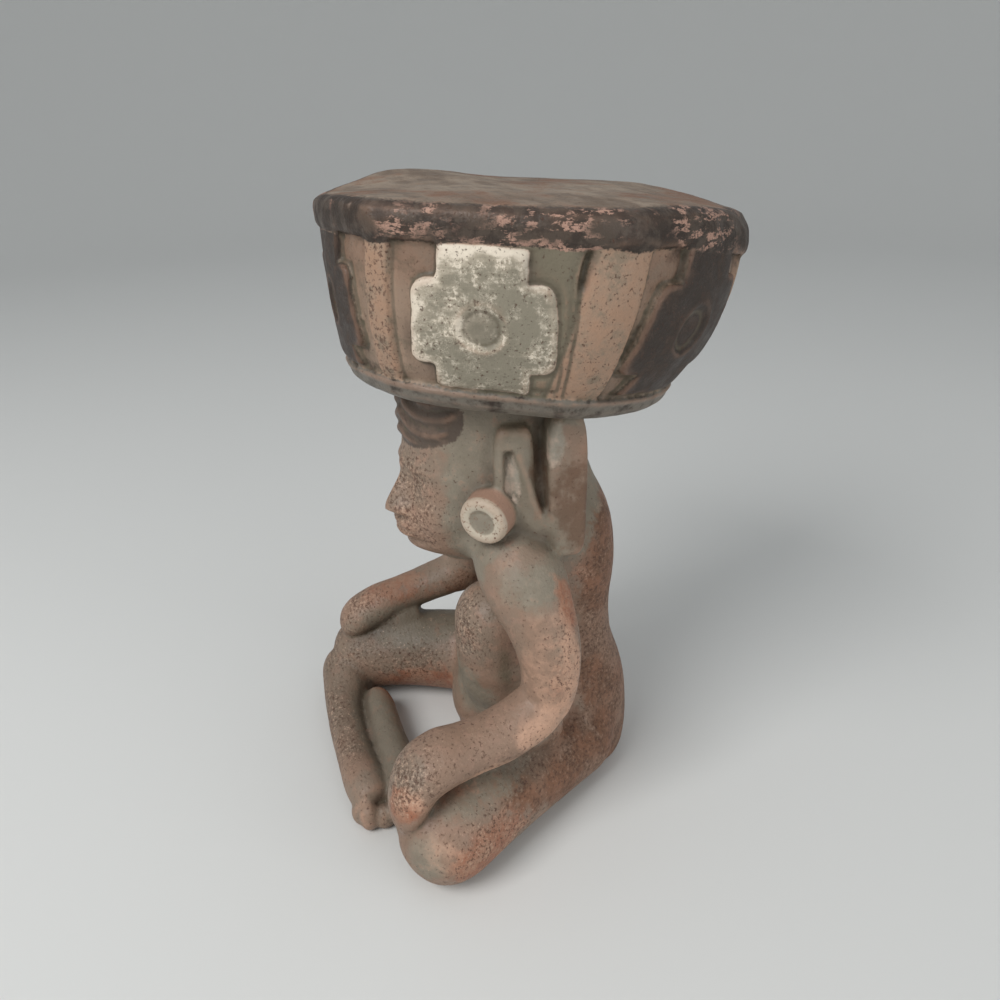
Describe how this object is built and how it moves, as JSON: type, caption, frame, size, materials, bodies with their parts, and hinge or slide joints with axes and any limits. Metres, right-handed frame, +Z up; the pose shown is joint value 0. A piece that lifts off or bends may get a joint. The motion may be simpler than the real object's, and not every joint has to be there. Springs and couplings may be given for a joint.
{
  "type": "clay fire god figure",
  "caption": "Seated clay figure with crossed legs, hands on its knees, carrying a broad six-sided brazier with stepped crosses on its head.",
  "frame": {"origin": "middle of the box seen from above, on the surface it sits on", "axes": "+Z up, the face looks along -Y, the figure's left side is +X"},
  "size_m": [0.1634, 0.1672, 0.2505],
  "materials": {
    "fired_clay": "matt, worn, with dark brown and off-white paint"
  },
  "bodies": {
    "root": {"fire_god_figure": "fired_clay"}
  },
  "joints": []
}
